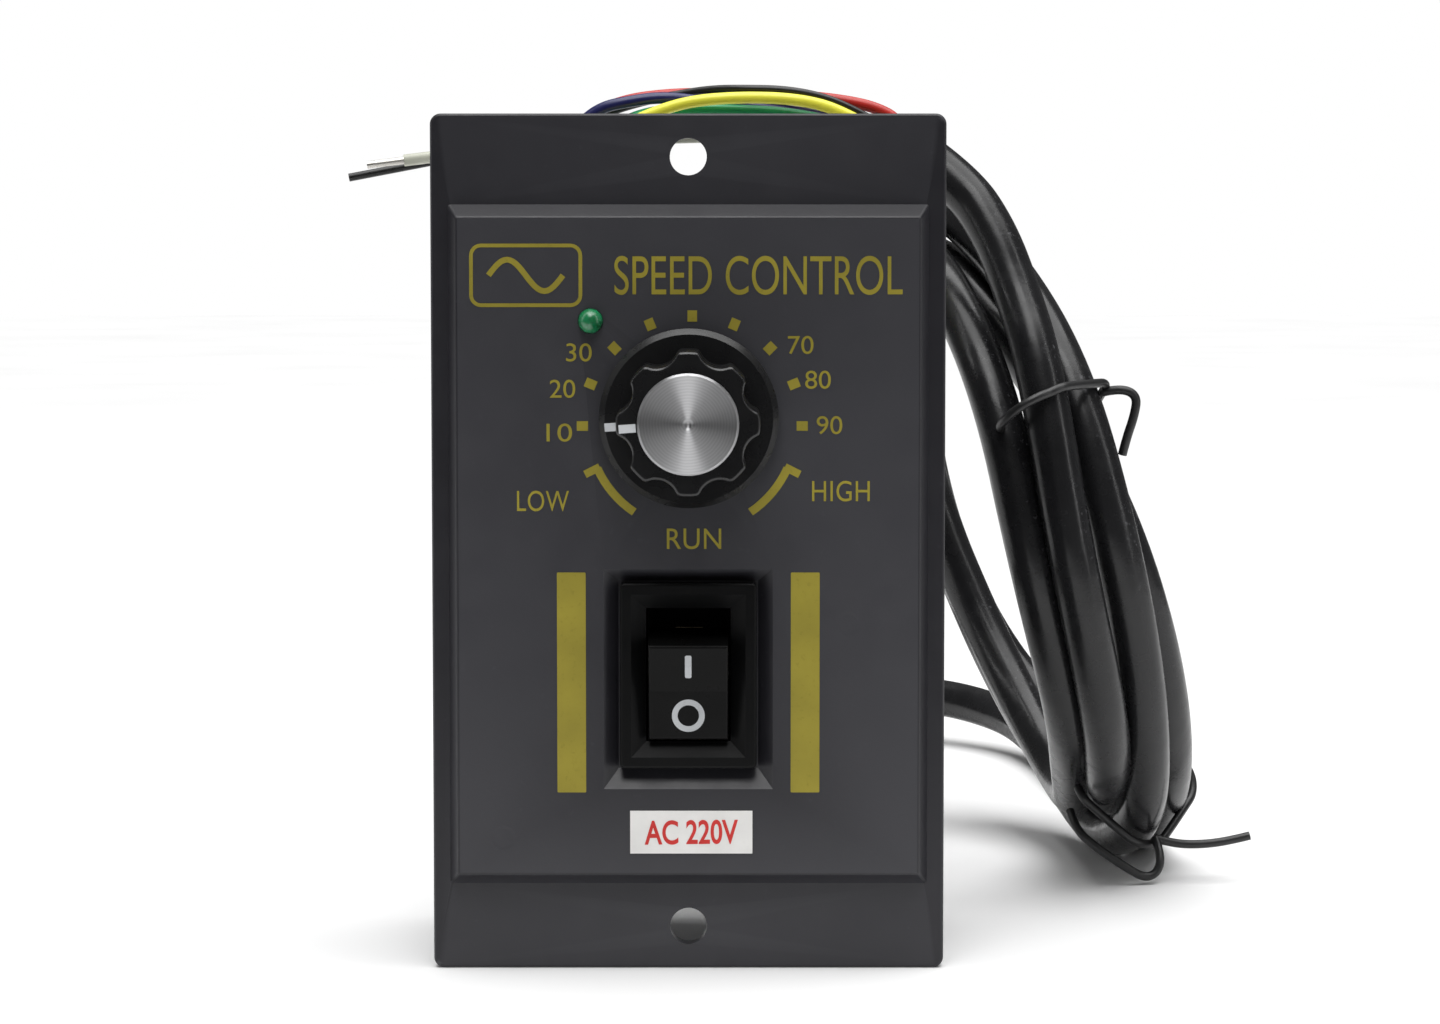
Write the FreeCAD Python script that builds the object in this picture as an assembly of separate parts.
import FreeCAD, Part
import math
import os

# Panel-mounted electronic speed controller with a rotary dial, a rocker switch and a flying lead.
# Working axes: X to the right, Y backwards from the front of the mounting flange, Z up from the
# panel's bottom edge. save() moves every shape so that Y = 0 is midway from knob to cable boot.

V = FreeCAD.Vector
UP = V(0, 0, 1)
BACK = V(0, 1, 0)
RIGHT = V(1, 0, 0)

# Front panel
PANEL_W = 62.5
PANEL_H = 104.4
FLANGE_T = 2.5
PANEL_CORNER_R = 1.3
FACE_RISE = 2.0
FACE_FOOT = (-29.5, 29.5, 10.1, 93.9)
FACE_TOP = (-28.1, 28.1, 11.9, 91.9)
MOUNT_HOLE_R = 2.25
MOUNT_PITCH = 94.0
FACE_HOLLOW = (-27.0, 27.0, 13.2, 91.2)
SEAT_DEPTH = 1.0

# Rear housing
HOUSING = (-29.0, 29.0, 11.2, 93.2)
HOUSING_WALL = 2.0
HOUSING_REAR = 36.0
HOUSING_CORNER_R = 2.0
POST_X = 23.4
POST_Z = (16.9, 87.5)
POST_R = 3.2
POST_SCREW_R = 1.3

# Cable boot and lead
CABLE_D = 6.3
CABLE_R = CABLE_D / 2
GLAND_Z = 26.0
BOOT_END = 58.0
CABLE_START = 31.0

# Dial knob and potentiometer
KNOB_X = 0.1
KNOB_Z = 67.7
KNOB_BACK = -2.6
SKIRT_FRONT = -4.6
SKIRT_R = 10.85
KNOB_BODY_R = 8.5
KNOB_FACE = -17.5
KNOB_FRONT = -18.0
FLUTES = 8
FLUTE_R = 2.6
FLUTE_CENTRE_R = 9.9
KNOB_HOLLOW_R = 7.0
KNOB_HOLLOW_END = -6.4
INSERT_R = 4.5
INSERT_END = -15.2
SHAFT_R = 3.0
SHAFT_END = -14.0
BUSHING_R = 3.4
BUSHING_BORE_R = 3.05
BUSHING_END = -6.0
POT_CASE_R = 8.2
POT_REAR = 8.0

# Rocker switch
SWITCH_Z = 36.3
BEZEL_HALF_W = 8.3
BEZEL_HALF_H = 11.35
BEZEL_FRONT = -2.6
BEZEL_BACK = -0.5
BODY_HALF_W = 6.55
BODY_HALF_H = 9.65
WELL_HALF_W = 5.15
WELL_HALF_H = 8.15
WELL_END = 12.6
SWITCH_REAR = 13.6
PIVOT_Y = 5.1
ROCKER_TILT = 13.0
ROCKER_HALF_W = 4.85
TRUNNION_R = 1.5
LEVER_Y = 11.4
LEVER_TILT = 8.0

# Indicator
LED_X = -11.8
LED_Z = 79.4
LED_R = 1.5

# Circuit board
BOARD = (-19.8, 19.8, 14.5, 90.0)
BOARD_FRONT = 20.0
BOARD_T = 1.6
BOARD_REAR = BOARD_FRONT + BOARD_T
BOSS_X = 16.5
BOSS_Z = (18.5, 86.0)
BOSS_R = 2.6
BOSS_SCREW_R = 1.0

# Parts on the rear of the board
TRIAC_X = -10.8
TRIAC_HOLE_Z = 75.0
SINK_T = 1.5
SINK_REAR = BOARD_REAR + SINK_T
CHOKE_X = -9.6
CHOKE_Z = 46.4
FUSE_Y = 26.4
FUSE_Z = 32.8

# Sticker on the raised face
STICKER = (-7.1, 7.8, 14.5, 19.75)
STICKER_T = 0.12

# Wound part of the lead: a leaning ring of four turns
RING_CENTRE = V(44.4, 83.5, 48.5)
RING_R = 44.0
RING_YAW = 9.0
RING_LEAN = 16.0
RING_HALF_RADIAL = 5.4
RING_HALF_WIDE = 10.4

# The lead from inside the boot, along the table and round into the ring's foot
LEAD_POINTS = [
    (0.0, 31.0, 26.0), (0.0, 65.0, 26.0), (-4.0, 98.0, 14.5), (-12.0, 130.0, 5.4),
    (-20.5, 159.0, 3.4), (-25.4, 181.5, 3.3), (-19.6, 202.0, 3.7), (-3.5, 216.5, 4.6),
    (18.0, 221.0, 6.2), (38.5, 214.5, 7.4), (53.0, 199.0, 5.6), (58.2, 177.0, 3.7),
    (59.4, 150.0, 3.4), (62.8, 122.0, 3.4), (62.0, 96.0, 4.4),
]
# The lead's other end, off the top of the ring
TAIL_POINTS = [(49.6, 47.3, 75.6), (46.3, 51.6, 84.6), (40.5, 54.6, 92.8), (33.0, 56.0, 99.3)]

# Stripped cores, from the end of the sheath, over the top and down behind the panel
CORE_R = 0.8
THIN_CORE_R = 0.55
CORES = {
    "core_black": (THIN_CORE_R, [
        (34.3, 55.8, 100.8), (29.4, 56.5, 104.8), (19.6, 56.2, 107.2), (8.6, 55.9, 108.6),
        (-2.5, 55.7, 107.6), (-12.5, 55.4, 105.3), (-24.0, 55.2, 102.0), (-35.5, 55.0, 99.0),
        (-46.4, 54.8, 97.0)]),
    "core_yellow": (CORE_R, [
        (33.3, 54.2, 100.0), (28.6, 54.7, 103.5), (20.0, 54.3, 105.5), (9.4, 54.1, 107.2),
        (-0.6, 54.0, 106.6), (-9.5, 54.2, 103.8), (-15.6, 55.0, 98.4), (-18.4, 56.0, 90.5)]),
    "core_green": (CORE_R, [
        (32.1, 54.4, 98.6), (27.5, 55.0, 101.8), (18.0, 54.4, 103.6), (6.5, 54.0, 105.2),
        (-4.0, 54.0, 104.2), (-11.0, 54.6, 100.4), (-14.6, 55.6, 93.8), (-15.4, 56.6, 86.0)]),
    "core_red": (CORE_R, [
        (33.9, 57.6, 100.0), (28.8, 58.4, 104.3), (18.0, 58.2, 107.5), (5.8, 57.9, 108.0),
        (-4.6, 57.9, 107.3), (-12.8, 58.2, 104.6), (-18.2, 59.0, 99.4), (-20.6, 60.0, 91.8)]),
    "core_blue": (CORE_R, [
        (32.7, 57.8, 98.6), (27.8, 59.0, 102.2), (16.4, 60.0, 104.8), (4.5, 60.1, 106.4),
        (-5.5, 60.0, 106.3), (-13.4, 60.3, 104.2), (-19.6, 61.0, 99.6), (-23.2, 61.8, 92.6)]),
    "core_white": (CORE_R, [
        (31.8, 56.2, 97.8), (26.6, 56.9, 100.9), (16.0, 56.7, 102.5), (4.5, 56.4, 103.0),
        (-8.0, 56.5, 102.5), (-20.0, 56.8, 101.5), (-30.0, 57.0, 100.5), (-38.8, 57.0, 99.4)]),
}
TINNED_R = 0.5
TINNED_LENGTH = 5.0


def box(x0, x1, y0, y1, z0, z1):
    return Part.makeBox(x1 - x0, y1 - y0, z1 - z0, V(x0, y0, z0))


def cylinder(x, z, radius, y0, y1):
    return Part.makeCylinder(radius, y1 - y0, V(x, y0, z), BACK)


def ring(x, z, outer_r, inner_r, y0, y1):
    return cylinder(x, z, outer_r, y0, y1).cut(cylinder(x, z, inner_r, y0, y1))


def grow(rectangle, by):
    x0, x1, z0, z1 = rectangle
    return (x0 - by, x1 + by, z0 - by, z1 + by)


def rectangle_wire(rectangle, y):
    x0, x1, z0, z1 = rectangle
    corners = [V(x0, y, z0), V(x1, y, z0), V(x1, y, z1), V(x0, y, z1)]
    return Part.makePolygon(corners + corners[:1])


def frustum(rectangle_a, y_a, rectangle_b, y_b):
    wires = [rectangle_wire(rectangle_a, y_a), rectangle_wire(rectangle_b, y_b)]
    return Part.makeLoft(wires, True, True)


def edges_along(shape, direction):
    found = []
    for edge in shape.Edges:
        if isinstance(edge.Curve, (Part.Line, Part.LineSegment)):
            run = edge.Vertexes[-1].Point.sub(edge.Vertexes[0].Point).normalize()
            if abs(abs(run.dot(direction)) - 1) < 1e-6:
                found.append(edge)
    return found


def edges_at_depth(shape, y):
    return [edge for edge in shape.Edges
            if abs(edge.BoundBox.YMin - y) < 1e-4 and abs(edge.BoundBox.YMax - y) < 1e-4]


def turned_about_y(profile, x, z):
    """Solid of revolution about the Y axis through (x, z); profile points are (radius, y)."""
    points = [V(x + radius, y, z) for radius, y in profile]
    face = Part.Face(Part.makePolygon(points + points[:1]))
    return face.revolve(V(x, 0, z), BACK, 360)


def front_panel():
    plate = box(-PANEL_W / 2, PANEL_W / 2, 0, FLANGE_T, 0, PANEL_H)
    plate = plate.makeFillet(PANEL_CORNER_R, edges_along(plate, BACK))
    plate = plate.makeFillet(0.4, edges_at_depth(plate, 0))
    face = frustum(FACE_FOOT, 0.6, FACE_TOP, -FACE_RISE)
    soft_edges = [edge for edge in face.Edges if edge.BoundBox.YMin < 0]
    face = face.makeFillet(0.45, soft_edges)
    panel = plate.fuse(face)
    panel = panel.cut(box(*FACE_HOLLOW[:2], 0, FLANGE_T, *FACE_HOLLOW[2:]))
    panel = panel.cut(housing_outline(0.05))
    panel = panel.fuse(box(-12.0, 12.0, -1.5, 1.6, 20.5, 51.5))
    for x in (-POST_X, POST_X):
        for z in POST_Z:
            panel = panel.fuse(cylinder(x, z, POST_R, -1.0, HOUSING_REAR - HOUSING_WALL))
    for x in (-BOSS_X, BOSS_X):
        for z in BOSS_Z:
            panel = panel.fuse(cylinder(x, z, BOSS_R, -1.0, BOARD_FRONT))
    recess_top = (-10.3, 10.3, 22.4, 49.3)
    recess_floor = (-BEZEL_HALF_W - 0.2, BEZEL_HALF_W + 0.2,
                    SWITCH_Z - BEZEL_HALF_H - 0.15, SWITCH_Z + BEZEL_HALF_H + 0.15)
    panel = panel.cut(frustum(recess_top, -FACE_RISE - 0.001, recess_floor, BEZEL_BACK))
    cuts = [box(-BODY_HALF_W - 0.1, BODY_HALF_W + 0.1, -4, 4,
                SWITCH_Z - BODY_HALF_H - 0.1, SWITCH_Z + BODY_HALF_H + 0.1),
            cylinder(KNOB_X, KNOB_Z, BUSHING_R + 0.2, -4, 4),
            cylinder(LED_X, LED_Z, LED_R + 0.05, -4, 4)]
    for sign in (-1, 1):
        cuts.append(cylinder(0, PANEL_H / 2 + sign * MOUNT_PITCH / 2, MOUNT_HOLE_R, -4, 4))
    for x in (-POST_X, POST_X):
        for z in POST_Z:
            cuts.append(cylinder(x, z, POST_SCREW_R, 23.0, HOUSING_REAR))
    for x in (-BOSS_X, BOSS_X):
        for z in BOSS_Z:
            cuts.append(cylinder(x, z, BOSS_SCREW_R, 12.0, BOARD_REAR))
    for cut in cuts:
        panel = panel.cut(cut)
    return panel


def housing_outline(clearance):
    """The housing's outside, which is also the seat cut into the back of the panel."""
    x0, x1, z0, z1 = grow(HOUSING, clearance)
    outline = box(x0, x1, SEAT_DEPTH, HOUSING_REAR, z0, z1)
    return outline.makeFillet(HOUSING_CORNER_R + clearance, edges_along(outline, BACK))


def rear_housing():
    shell = housing_outline(0)
    shell = shell.makeFillet(1.0, edges_at_depth(shell, HOUSING_REAR))
    inside = grow(HOUSING, -HOUSING_WALL)
    shell = shell.cut(box(*inside[:2], 0, HOUSING_REAR - HOUSING_WALL, *inside[2:]))
    shell = shell.cut(cylinder(0, GLAND_Z, 5.15, 30, 40))
    for x in (-POST_X, POST_X):
        for z in POST_Z:
            shell = shell.cut(cylinder(x, z, 1.6, 30, 40))
    return shell


def pan_screw(x, z, head_r, head_h, shank_r, seat, tip):
    """Pan-head screw driven forwards: the head stands behind the seat, the tip is in front."""
    head = cylinder(x, z, head_r, seat, seat + head_h)
    head = head.makeFillet(head_h * 0.4, edges_at_depth(head, seat + head_h))
    for length, width in ((head_r, 0.6), (0.6, head_r)):
        slot = box(x - length / 2, x + length / 2, seat + head_h * 0.4, seat + head_h + 1,
                   z - width / 2, z + width / 2)
        head = head.cut(slot)
    return head.fuse(cylinder(x, z, shank_r, tip, seat))


def housing_screws():
    return Part.makeCompound([pan_screw(x, z, 2.7, 1.8, POST_SCREW_R, HOUSING_REAR, 24.0)
                              for x in (-POST_X, POST_X) for z in POST_Z])


def board_screws():
    return Part.makeCompound([pan_screw(x, z, 2.2, 1.5, BOSS_SCREW_R, BOARD_REAR, 13.0)
                              for x in (-BOSS_X, BOSS_X) for z in BOSS_Z])


def cable_gland():
    profile = [(CABLE_R, 32.2), (6.6, 32.2), (6.6, 34.0), (5.15, 34.0), (5.15, 36.0),
               (6.8, 36.0), (6.8, 37.6), (6.3, 38.2)]
    grooves = 5
    taper_start = 38.2
    step = (BOOT_END - 2.0 - taper_start) / grooves
    for index in range(grooves):
        y = taper_start + index * step
        outer = 5.5 - 0.27 * index
        profile += [(outer - 0.9, y + 0.2), (outer - 0.9, y + 1.3), (outer, y + 1.7),
                    (outer - 0.1, y + step - 0.2)]
    profile += [(4.1, BOOT_END - 1.5), (3.9, BOOT_END), (CABLE_R, BOOT_END)]
    return turned_about_y(profile, 0, GLAND_Z)


def cable_conductors():
    """The six cores from the cut sheath inside the housing to the board."""
    pins = []
    for index in range(6):
        angle = math.radians(60 * index + 30)
        x = 1.9 * math.cos(angle)
        z = GLAND_Z + 1.9 * math.sin(angle)
        pins.append(cylinder(x, z, CORE_R, BOARD_REAR, CABLE_START))
    return Part.makeCompound(pins)


def knob_body():
    x, z = KNOB_X, KNOB_Z
    skirt = turned_about_y([(0, KNOB_BACK), (SKIRT_R, KNOB_BACK), (SKIRT_R, KNOB_BACK - 1.2),
                            (SKIRT_R - 0.7, SKIRT_FRONT), (0, SKIRT_FRONT)], x, z)
    grip = cylinder(x, z, KNOB_BODY_R, KNOB_FACE, SKIRT_FRONT)
    for index in range(FLUTES):
        angle = math.radians(360 / FLUTES * (index + 0.5))
        flute = cylinder(x + FLUTE_CENTRE_R * math.cos(angle), z + FLUTE_CENTRE_R * math.sin(angle),
                         FLUTE_R, KNOB_FACE - 1, SKIRT_FRONT)
        grip = grip.cut(flute)
    grip = grip.makeFillet(0.7, edges_along(grip, BACK))
    grip = grip.makeFillet(0.4, edges_at_depth(grip, KNOB_FACE))
    knob = grip.fuse(skirt)
    knob = knob.cut(cylinder(x, z, 6.05, KNOB_FACE - 1, KNOB_FACE + 0.6))
    knob = knob.cut(cylinder(x, z, KNOB_HOLLOW_R, KNOB_HOLLOW_END, 0))
    knob = knob.cut(cylinder(x, z, INSERT_R, INSERT_END, 0))
    return knob.cut(Part.makeCylinder(1.5, 10, V(x, -10.0, z), UP * -1))


def knob_cap():
    return turned_about_y([(0, KNOB_FACE + 0.6), (6.0, KNOB_FACE + 0.6), (6.0, KNOB_FRONT + 0.2),
                           (5.75, KNOB_FRONT), (0.7, KNOB_FRONT), (0.35, KNOB_FRONT + 0.2),
                           (0, KNOB_FRONT + 0.25)], KNOB_X, KNOB_Z)


def knob_insert():
    insert = ring(KNOB_X, KNOB_Z, INSERT_R, SHAFT_R, SHAFT_END, KNOB_HOLLOW_END)
    insert = insert.fuse(cylinder(KNOB_X, KNOB_Z, INSERT_R, INSERT_END, SHAFT_END))
    return insert.cut(Part.makeCylinder(1.5, 10, V(KNOB_X, -10.0, KNOB_Z), UP * -1))


def knob_set_screw():
    screw = Part.makeCylinder(1.5, 4.2, V(KNOB_X, -10.0, KNOB_Z - SHAFT_R - 0.05), UP * -1)
    slot = box(KNOB_X - 2, KNOB_X + 2, -10.3, -9.7, KNOB_Z - 7.5, KNOB_Z - 6.6)
    return screw.cut(slot)


def pot_shaft():
    shaft = cylinder(KNOB_X, KNOB_Z, SHAFT_R, SHAFT_END, POT_REAR - 0.6)
    slot = box(KNOB_X - 0.5, KNOB_X + 0.5, SHAFT_END - 1, SHAFT_END + 5, KNOB_Z - 4, KNOB_Z + 4)
    return shaft.cut(slot)


def pot_wiper():
    rotor = ring(KNOB_X, KNOB_Z, 5.4, SHAFT_R, 4.8, POT_REAR - 0.9)
    arm = box(KNOB_X - 7.0, KNOB_X - 5.0, POT_REAR - 1.5, POT_REAR - 0.9, KNOB_Z - 1.2, KNOB_Z + 1.2)
    return rotor.fuse(arm)


def pot_bushing():
    flange = ring(KNOB_X, KNOB_Z, 5.2, BUSHING_BORE_R, 0, 1.2)
    return flange.fuse(ring(KNOB_X, KNOB_Z, BUSHING_R, BUSHING_BORE_R, BUSHING_END, 0))


def pot_washer():
    return ring(KNOB_X, KNOB_Z, 5.6, BUSHING_R, -FACE_RISE - 0.5, -FACE_RISE)


def pot_nut():
    across_corners_r = 5.7
    corners = [V(KNOB_X + across_corners_r * math.cos(math.radians(60 * i)), -FACE_RISE - 2.6,
                 KNOB_Z + across_corners_r * math.sin(math.radians(60 * i))) for i in range(7)]
    nut = Part.Face(Part.makePolygon(corners)).extrude(V(0, 2.1, 0))
    return nut.cut(cylinder(KNOB_X, KNOB_Z, BUSHING_R, -8, 0))


def pot_case():
    can = cylinder(KNOB_X, KNOB_Z, POT_CASE_R, 1.2, POT_REAR)
    can = can.cut(cylinder(KNOB_X, KNOB_Z, POT_CASE_R - 0.6, 1.9, POT_REAR))
    return can.cut(cylinder(KNOB_X, KNOB_Z, SHAFT_R + 0.25, 0, 3))


def pot_wafer():
    disc = cylinder(KNOB_X, KNOB_Z, POT_CASE_R, POT_REAR, POT_REAR + 1.2)
    return disc.fuse(box(KNOB_X - 6.8, KNOB_X + 6.8, POT_REAR, POT_REAR + 1.2, 53.5, KNOB_Z))


def pot_terminals():
    pins = [box(KNOB_X + x - 0.5, KNOB_X + x + 0.5, POT_REAR + 1.2, BOARD_FRONT, 54.3, 54.9)
            for x in (-5.0, 0.0, 5.0)]
    return Part.makeCompound(pins)


def switch_frame():
    z = SWITCH_Z
    bezel = box(-BEZEL_HALF_W, BEZEL_HALF_W, BEZEL_FRONT, BEZEL_BACK,
                z - BEZEL_HALF_H, z + BEZEL_HALF_H)
    bezel = bezel.makeFillet(0.6, edges_along(bezel, BACK))
    bezel = bezel.makeFillet(0.4, edges_at_depth(bezel, BEZEL_FRONT))
    shell = box(-BODY_HALF_W, BODY_HALF_W, BEZEL_BACK - 0.5, SWITCH_REAR,
                z - BODY_HALF_H, z + BODY_HALF_H)
    frame = bezel.fuse(shell)
    well = (-WELL_HALF_W, WELL_HALF_W, z - WELL_HALF_H, z + WELL_HALF_H)
    mouth = grow(well, 1.8)
    frame = frame.cut(frustum(mouth, BEZEL_FRONT - 0.001, well, BEZEL_FRONT + 1.6))
    frame = frame.cut(box(*well[:2], BEZEL_FRONT - 1, WELL_END, *well[2:]))
    hinge = Part.makeCylinder(TRUNNION_R + 0.05, 20, V(-10, PIVOT_Y, z), RIGHT)
    return frame.cut(hinge).cut(switch_terminals())


def in_rocker_frame(shape):
    """Place a shape drawn about the hinge, with its face towards -Y, at the rest tilt."""
    placed = shape.copy()
    placed.rotate(V(0, 0, 0), RIGHT, ROCKER_TILT)
    placed.translate(V(0, PIVOT_Y, SWITCH_Z))
    return placed


def rocker_block():
    outline = [(-8.85, 6.1), (-8.1, 0), (-8.85, -6.1), (-0.5, -5.6), (2.6, -2.6), (2.6, 2.6),
               (-0.5, 5.6)]
    points = [V(-ROCKER_HALF_W, y, z) for y, z in outline]
    block = Part.Face(Part.makePolygon(points + points[:1])).extrude(V(2 * ROCKER_HALF_W, 0, 0))
    rounded = [edge for edge in block.Edges if edge.BoundBox.YMax < -8.0]
    return block.makeFillet(0.35, rounded)


def switch_rocker():
    rocker = rocker_block()
    length = BODY_HALF_W - 0.15
    rocker = rocker.fuse(Part.makeCylinder(TRUNNION_R, 2 * length, V(-length, 0, 0), RIGHT))
    rocker = rocker.cut(Part.makeCylinder(1.3, 8, V(0, -4.0, 0), BACK))
    return in_rocker_frame(rocker)


def switch_plunger():
    rod = Part.makeCylinder(1.2, 5.4, V(0, 0.3, 0), BACK)
    return in_rocker_frame(rod.makeFillet(0.8, edges_at_depth(rod, 5.7)))


def switch_spring():
    outer = Part.makeCylinder(1.15, 4.3, V(0, -4.0, 0), BACK)
    return in_rocker_frame(outer.cut(Part.makeCylinder(0.75, 4.3, V(0, -4.0, 0), BACK)))


def switch_lever():
    plate = box(-1.7, 1.7, -0.5, 0, -4.5, 4.5)
    plate.rotate(V(0, 0, 0), RIGHT, -LEVER_TILT)
    plate.translate(V(0, LEVER_Y, SWITCH_Z))
    return plate


def switch_terminals():
    centre = box(-2.2, 2.2, LEVER_Y + 0.1, BOARD_FRONT, SWITCH_Z - 0.3, SWITCH_Z + 0.3)
    fixed = box(-2.2, 2.2, LEVER_Y + 0.8, BOARD_FRONT, SWITCH_Z - 4.6, SWITCH_Z - 4.0)
    return Part.makeCompound([centre, fixed])


def led_lens():
    barrel = cylinder(LED_X, LED_Z, LED_R, -2.0, 0.6)
    dome = Part.makeSphere(LED_R, V(LED_X, -2.0, LED_Z))
    lens = barrel.fuse(dome)
    return lens.fuse(cylinder(LED_X, LED_Z, LED_R + 0.45, 0.05, 1.1))


def led_leads():
    pins = [cylinder(LED_X + side * 1.27, LED_Z, 0.25, 1.1, BOARD_FRONT) for side in (-1, 1)]
    return Part.makeCompound(pins)


def circuit_board():
    board = box(*BOARD[:2], BOARD_FRONT, BOARD_REAR, *BOARD[2:])
    for x in (-BOSS_X, BOSS_X):
        for z in BOSS_Z:
            board = board.cut(cylinder(x, z, 1.2, 15, 25))
    return board.cut(cylinder(TRIAC_X, TRIAC_HOLE_Z, 1.6, 15, 25))


def heat_sink():
    base = box(-18.0, -4.0, BOARD_REAR, SINK_REAR, 60.0, 82.0)
    fin = box(-18.0, -18.0 + SINK_T, BOARD_REAR, 32.5, 60.0, 82.0)
    return base.fuse(fin).cut(cylinder(TRIAC_X, TRIAC_HOLE_Z, 1.6, 15, 30))


def triac():
    tab = box(TRIAC_X - 5.0, TRIAC_X + 5.0, SINK_REAR, SINK_REAR + 1.3, 62.0, 78.0)
    body = box(TRIAC_X - 5.0, TRIAC_X + 5.0, SINK_REAR, SINK_REAR + 4.4, 62.0, 71.0)
    part = tab.fuse(body).cut(cylinder(TRIAC_X, TRIAC_HOLE_Z, 1.6, 15, 30))
    for x in (-2.54, 0, 2.54):
        part = part.fuse(box(TRIAC_X + x - 0.4, TRIAC_X + x + 0.4, SINK_REAR + 2.0,
                             SINK_REAR + 2.5, 57.6, 62.0))
        part = part.fuse(box(TRIAC_X + x - 0.4, TRIAC_X + x + 0.4, BOARD_REAR,
                             SINK_REAR + 2.5, 57.6, 58.1))
    return part


def triac_screw():
    return pan_screw(TRIAC_X, TRIAC_HOLE_Z, 2.6, 1.9, 1.4, SINK_REAR + 1.3, 18.5)


def film_capacitors():
    blocks = []
    for z in (58.0, 69.5):
        block = box(0.5, 17.5, BOARD_REAR, 32.0, z, z + 8.5)
        blocks.append(block.makeFillet(0.6, block.Edges))
    return Part.makeCompound(blocks)


def electrolytic_capacitor():
    can = cylinder(13.0, 50.5, 4.0, BOARD_REAR, 33.0)
    return can.makeFillet(0.5, edges_at_depth(can, 33.0))


def choke_core():
    return ring(CHOKE_X, CHOKE_Z, 7.4, 3.8, 22.6, 28.2)


def choke_winding():
    profile = [V(CHOKE_X + radius, y, CHOKE_Z) for radius, y in
               ((3.0, 21.8), (8.2, 21.8), (8.2, 29.0), (3.0, 29.0))]
    face = Part.Face(Part.makePolygon(profile + profile[:1]))
    winding = face.revolve(V(CHOKE_X, 0, CHOKE_Z), BACK, 300)
    return winding.cut(choke_core())


def control_chip():
    return box(1.5, 11.0, BOARD_REAR + 0.8, BOARD_REAR + 4.2, 37.0, 43.4)


def chip_pins():
    pins = []
    for index in range(4):
        x = 2.44 + 2.54 * index
        for z0, z1 in ((36.4, 37.0), (43.4, 44.0)):
            pins.append(box(x - 0.3, x + 0.3, BOARD_REAR, BOARD_REAR + 2.4, z0, z1))
    return Part.makeCompound(pins)


def fuse_tube():
    return Part.makeCylinder(2.6, 20.0, V(-18.0, FUSE_Y, FUSE_Z), RIGHT)


def fuse_clips():
    clips = []
    for x in (-17.5, -1.5):
        clip = box(x, x + 3.0, BOARD_REAR, FUSE_Y + 1.6, FUSE_Z - 3.2, FUSE_Z + 3.2)
        gap = box(x, x + 3.0, FUSE_Y, FUSE_Y + 2, FUSE_Z - 2.6, FUSE_Z + 2.6)
        clips.append(clip.cut(fuse_tube()).cut(gap))
    return Part.makeCompound(clips)


def resistors():
    group = []
    for x in (7.6, 11.2, 14.8):
        y = BOARD_REAR + 1.6
        body = Part.makeCylinder(1.15, 6.4, V(x, y, 24.0), UP)
        lead = Part.makeCylinder(0.3, 9.4, V(x, y, 22.5), UP)
        legs = [cylinder(x, z, 0.3, BOARD_REAR, y) for z in (22.8, 31.6)]
        group.append(body.fuse(lead).fuse(legs[0]).fuse(legs[1]))
    return Part.makeCompound(group)


def sticker():
    return box(*STICKER[:2], -FACE_RISE - STICKER_T, -FACE_RISE, *STICKER[2:])


def rounded_route(points):
    """Straight runs joined by tangent arcs; each arc takes 0.45 of the shorter run beside it."""
    corners = [V(*point) for point in points]
    edges = []
    radii = []
    start = corners[0]
    for before, corner, after in zip(corners, corners[1:], corners[2:]):
        run_in = before.sub(corner)
        run_out = after.sub(corner)
        trim = 0.45 * min(run_in.Length, run_out.Length)
        turn = math.pi - run_in.getAngle(run_out)
        radius = trim / math.tan(turn / 2)
        run_in.normalize()
        run_out.normalize()
        inwards = run_in.add(run_out).normalize()
        arc_start = corner.add(run_in * trim)
        arc_end = corner.add(run_out * trim)
        arc_middle = corner.add(inwards * (radius / math.cos(turn / 2) - radius))
        edges.append(Part.LineSegment(start, arc_start).toShape())
        edges.append(Part.Arc(arc_start, arc_middle, arc_end).toShape())
        radii.append(radius)
        start = arc_end
    edges.append(Part.LineSegment(start, corners[-1]).toShape())
    return Part.Wire(edges), radii


def tube(name, points, radius):
    route, radii = rounded_route(points)
    direction = V(*points[1]).sub(V(*points[0]))
    section = Part.Wire(Part.Circle(V(*points[0]), direction, radius).toShape())
    solid = route.makePipeShell([section], True, False)
    expected = math.pi * radius ** 2 * route.Length
    print(name, "length", round(route.Length, 1), "volume / section x length",
          round(solid.Volume / expected, 4), "radii", [round(value, 1) for value in radii])
    return solid


def place_on_ring(shape, angle):
    """Move a shape drawn about the origin, X across the ring and Z outwards, to an angle on it."""
    placed = shape.copy()
    placed.translate(V(0, 0, RING_R))
    placed.rotate(V(0, 0, 0), RIGHT, angle)
    return lean_like_ring(placed)


def lean_like_ring(shape):
    """The ring is drawn about the X axis, then leans over to the left and turns to the right."""
    placed = shape.copy()
    placed.rotate(V(0, 0, 0), BACK, -RING_LEAN)
    placed.rotate(V(0, 0, 0), UP, RING_YAW)
    placed.translate(RING_CENTRE)
    return placed


def cross_section(grown=0.0):
    """Outline of the bundle of turns, wider across the ring than it is deep."""
    ellipse = Part.Ellipse(V(0, 0, 0), RING_HALF_WIDE + grown, RING_HALF_RADIAL + grown)
    face = Part.Face(Part.Wire(ellipse.toShape()))
    face.rotate(V(0, 0, 0), RIGHT, 90)
    return face


def cable_coil():
    section = cross_section()
    section.translate(V(0, 0, RING_R))
    return lean_like_ring(section.revolve(V(0, 0, 0), RIGHT, 360))


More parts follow.
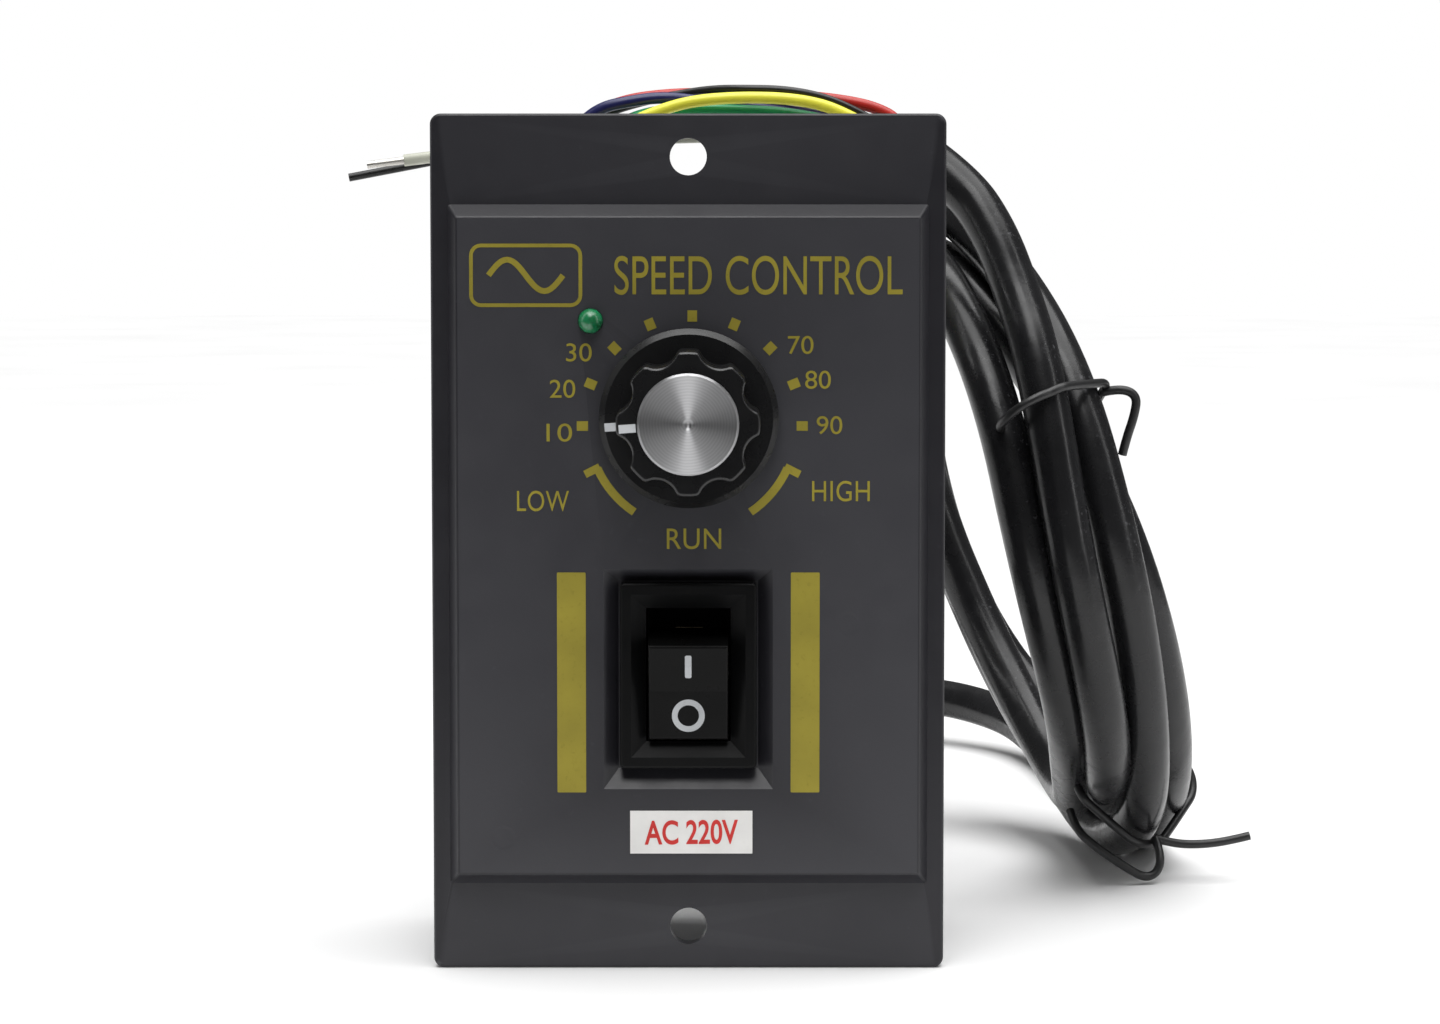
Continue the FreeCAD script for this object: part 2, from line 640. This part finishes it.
def tie_band(angle):
    width = 1.2
    band = cross_section(1.1).extrude(V(0, width, 0))
    band = band.cut(cross_section(0.0).extrude(V(0, width, 0)))
    return place_on_ring(band, angle)


def upper_twist_tie():
    tail = tube("upper tie tail", [(60.0, 46.8, 69.5), (64.0, 45.5, 69.6), (66.6, 45.0, 66.6),
                                   (66.0, 45.0, 61.4)], 0.6)
    return Part.makeCompound([tie_band(70.0), tail])


def lower_twist_tie():
    tail = tube("lower tie tail", [(66.0, 68.0, 7.0), (72.0, 66.0, 6.6), (78.0, 64.5, 7.6)], 0.6)
    return Part.makeCompound([tie_band(155.0), tail])


def tinned_ends():
    ends = []
    for name, (_, points) in CORES.items():
        if name != "core_black":
            last = V(*points[-1])
            direction = last.sub(V(*points[-2]))
            ends.append(Part.makeCylinder(TINNED_R, TINNED_LENGTH, last, direction))
    return Part.makeCompound(ends)


def save(name, shape):
    mid_depth = (KNOB_FRONT + BOOT_END) / 2
    moved = shape.copy()
    moved.translate(V(0, -mid_depth, 0))
    moved.exportStep("parts/" + name + ".step")
    print(name, "solids", len(moved.Solids), "valid", moved.isValid())


def build():
    os.makedirs("parts", exist_ok=True)
    single_shapes = [
        front_panel, rear_housing, cable_gland, cable_conductors, knob_body, knob_cap, knob_insert,
        knob_set_screw, pot_shaft, pot_wiper, pot_bushing, pot_washer, pot_nut, pot_case, pot_wafer,
        pot_terminals, switch_frame, switch_rocker, switch_plunger, switch_spring, switch_lever,
        switch_terminals, led_lens, led_leads, circuit_board, heat_sink, triac, triac_screw,
        film_capacitors, electrolytic_capacitor, choke_core, choke_winding, control_chip, chip_pins,
        fuse_tube, fuse_clips, resistors, sticker, cable_coil, upper_twist_tie, lower_twist_tie,
        tinned_ends, housing_screws, board_screws,
    ]
    for make in single_shapes:
        save(make.__name__, make())
    save("cable_lead", tube("cable_lead", LEAD_POINTS, CABLE_R))
    save("cable_tail", tube("cable_tail", TAIL_POINTS, CABLE_R))
    for name, (radius, points) in CORES.items():
        save(name, tube(name, points, radius))


build()
